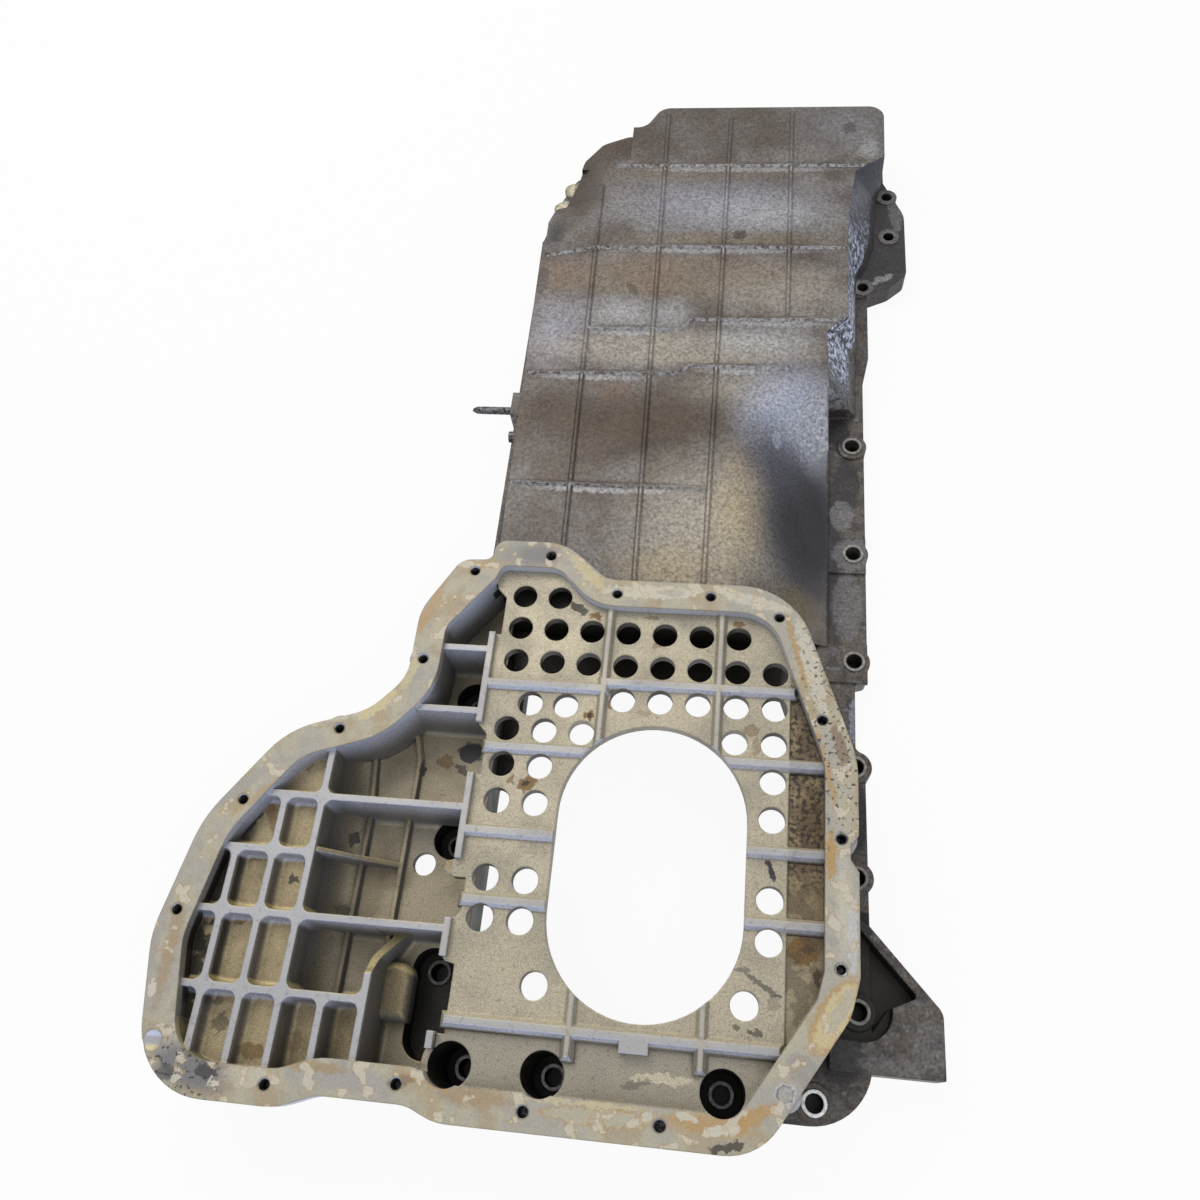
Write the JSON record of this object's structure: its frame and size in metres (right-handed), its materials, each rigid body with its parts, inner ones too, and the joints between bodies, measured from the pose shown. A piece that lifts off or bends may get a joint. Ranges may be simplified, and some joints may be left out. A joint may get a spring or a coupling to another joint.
{
  "type": "upper engine oil pan",
  "caption": "Cast upper oil pan: deep part with a wing, sump flange and baffle plate with a pickup opening, and a long shallow ribbed part.",
  "frame": {"origin": "on the block face, on the crankshaft's centre line, in the rear row of bolts", "axes": "+Z from the block face to the sump flange, +Y along the crankshaft from the deep part to the shallow part, +X to the right seen from above"},
  "size_m": [0.3865, 0.6854, 0.064],
  "materials": {
    "cast_aluminium": "oily die-cast skin with dried sealant on the sump flange",
    "dark_steel": "oily dark zinc-plated steel",
    "dowel_steel": "ground steel"
  },
  "bodies": {
    "root": {"pan_casting": "cast_aluminium", "wall_stud": "dark_steel", "side_screw": "dark_steel", "flange_dowel": "dowel_steel"}
  },
  "joints": []
}
